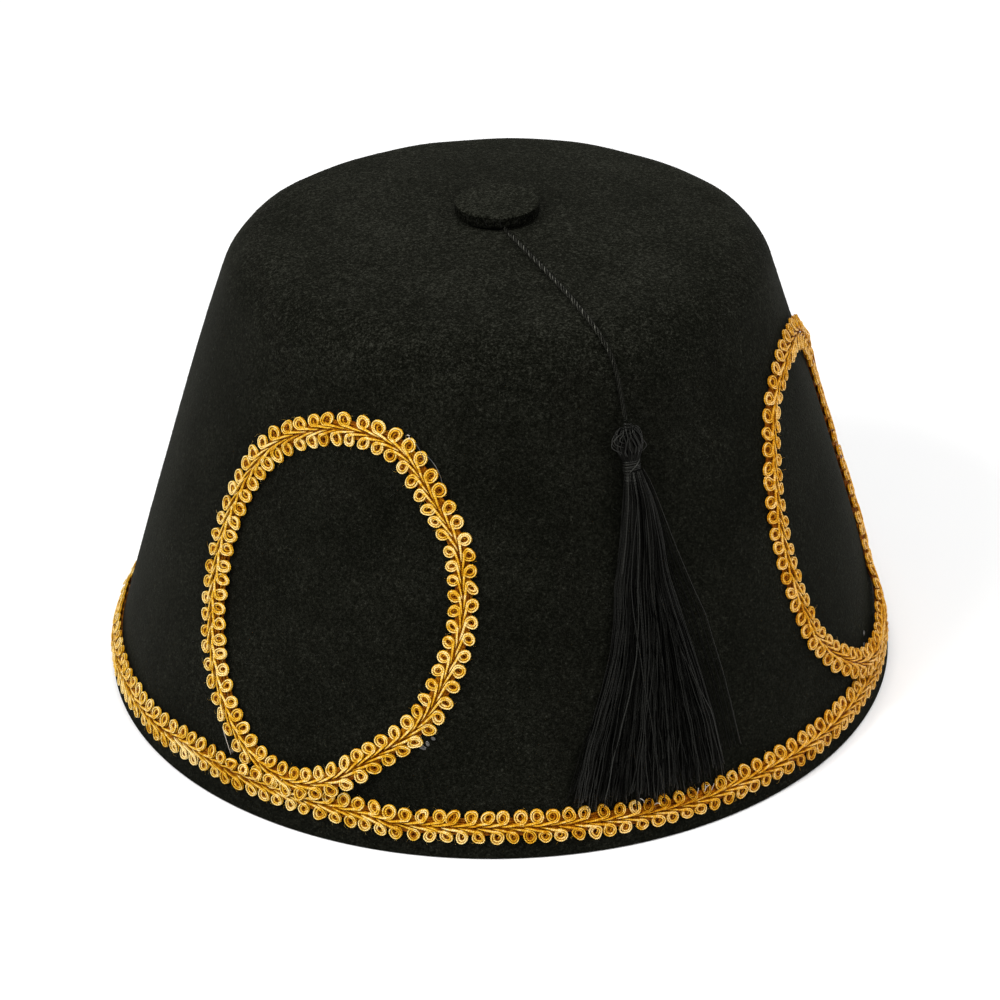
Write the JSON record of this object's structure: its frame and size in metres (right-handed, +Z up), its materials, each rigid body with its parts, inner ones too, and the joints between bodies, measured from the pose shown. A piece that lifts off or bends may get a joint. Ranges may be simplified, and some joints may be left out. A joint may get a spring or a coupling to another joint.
{
  "type": "fez hat",
  "caption": "Tapered round felt hat, open below, with a soft-edged flat top, a top button, looped gold braid round the base and in ovals on the wall, and a cord with a thread tassel.",
  "frame": {"origin": "middle of the rim, on the surface that the hat stands on", "axes": "+Z up along the crown's axis; -Y towards the viewer of the picture; the slightly longer way of the plan lies near X"},
  "size_m": [0.1932, 0.1868, 0.1177],
  "materials": {
    "felt": "matte pressed wool felt with short loose fibres",
    "gold_braid": "looped gimp braid of shiny gold-yellow rayon cord",
    "black_thread": "smooth rayon thread with a soft sheen"
  },
  "bodies": {
    "root": {"crown": "felt", "button": "felt", "base_braid": "gold_braid", "oval_braid_left": "gold_braid", "oval_braid_right": "gold_braid", "tassel_cord": "black_thread", "tassel": "black_thread"}
  },
  "joints": []
}
